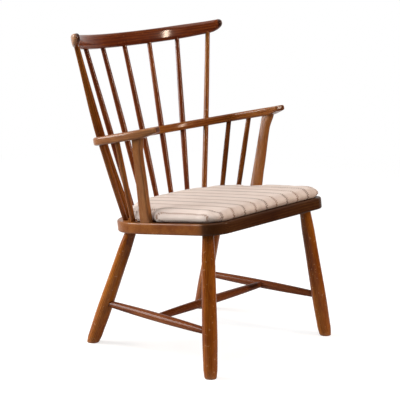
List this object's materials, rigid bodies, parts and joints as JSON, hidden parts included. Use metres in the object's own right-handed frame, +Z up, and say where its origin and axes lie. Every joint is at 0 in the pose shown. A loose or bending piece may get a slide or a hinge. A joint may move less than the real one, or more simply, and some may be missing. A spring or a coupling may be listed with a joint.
{
  "type": "windsor armchair",
  "caption": "Stick-back wooden armchair with a bent arm bow and crest rail, turned legs with stretchers, and a loose striped seat cushion.",
  "frame": {"origin": "on the floor, at the middle of the chair's bounding box", "axes": "+Z up, -Y towards the sitter's front, +X to the sitter's left"},
  "size_m": [0.6094, 0.5774, 0.8765],
  "materials": {
    "wood": "reddish-brown stain under a semi-gloss lacquer",
    "cushion_cloth": "off-white woven cloth with thin grey and brown stripes from front to back"
  },
  "bodies": {
    "frame": {"seat": "wood", "leg_front_left": "wood", "leg_front_right": "wood", "leg_back_left": "wood", "leg_back_right": "wood", "stretcher_left": "wood", "stretcher_right": "wood", "stretcher_cross": "wood", "back_stile_left": "wood", "back_stile_right": "wood", "back_spindle_1": "wood", "back_spindle_2": "wood", "back_spindle_3": "wood", "back_spindle_4": "wood", "back_spindle_5": "wood", "arm_spindle_rear_left": "wood", "arm_spindle_rear_right": "wood", "arm_spindle_front_left": "wood", "arm_spindle_front_right": "wood", "arm_post_left": "wood", "arm_post_right": "wood", "arm_bow": "wood", "crest_rail": "wood"},
    "cushion": {"seat_cushion": "cushion_cloth"}
  },
  "joints": [
    {"name": "cushion_lift", "type": "slide", "parent": "frame", "child": "cushion", "axis": [0, 0, 1], "range_m": [0, 0.12]}
  ]
}
